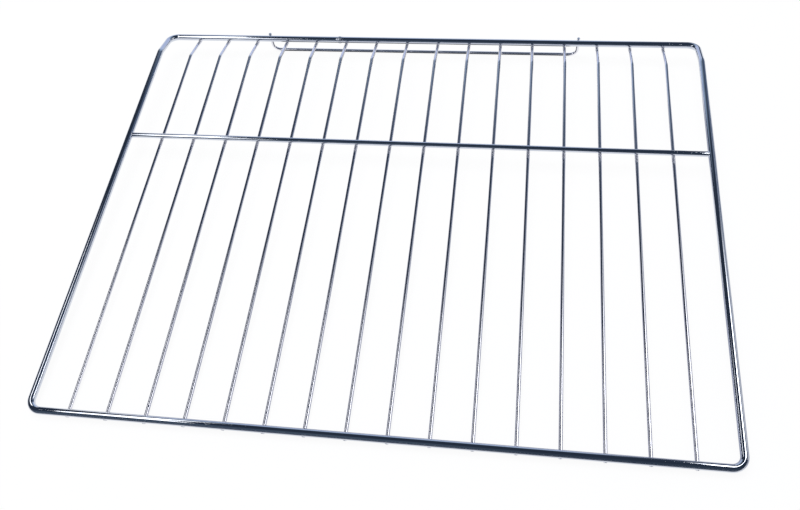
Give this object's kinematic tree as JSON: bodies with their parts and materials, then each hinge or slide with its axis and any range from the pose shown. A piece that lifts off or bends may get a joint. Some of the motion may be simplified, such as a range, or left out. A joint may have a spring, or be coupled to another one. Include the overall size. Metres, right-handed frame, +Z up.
{
  "type": "oven shelf rack",
  "caption": "Welded wire oven shelf with a round-cornered frame, a cross bar, a grid of thin wires from front to back, a short rear slope and a U-shaped rear guard.",
  "frame": {"origin": "on the surface that the shelf lies on, under the middle of its outline", "axes": "+X to the right along the front rail, +Y from the front rail to the rear guard, +Z up. The shelf lies underside up, as pictured, tilted by about 3 degrees onto its guard and the front ends of its grid wires."},
  "size_m": [0.45, 0.3556, 0.0254],
  "materials": {
    "chrome_frame": "polished chrome plate",
    "chrome_wire": "bright chrome plate with fine draw marks"
  },
  "bodies": {
    "root": {"frame_wire": "chrome_frame", "cross_bar": "chrome_frame", "rear_guard": "chrome_wire", "grid_wire_01": "chrome_wire", "grid_wire_02": "chrome_wire", "grid_wire_03": "chrome_wire", "grid_wire_04": "chrome_wire", "grid_wire_05": "chrome_wire", "grid_wire_06": "chrome_wire", "grid_wire_07": "chrome_wire", "grid_wire_08": "chrome_wire", "grid_wire_09": "chrome_wire", "grid_wire_10": "chrome_wire", "grid_wire_11": "chrome_wire", "grid_wire_12": "chrome_wire", "grid_wire_13": "chrome_wire", "grid_wire_14": "chrome_wire", "grid_wire_15": "chrome_wire", "grid_wire_16": "chrome_wire"}
  },
  "joints": []
}
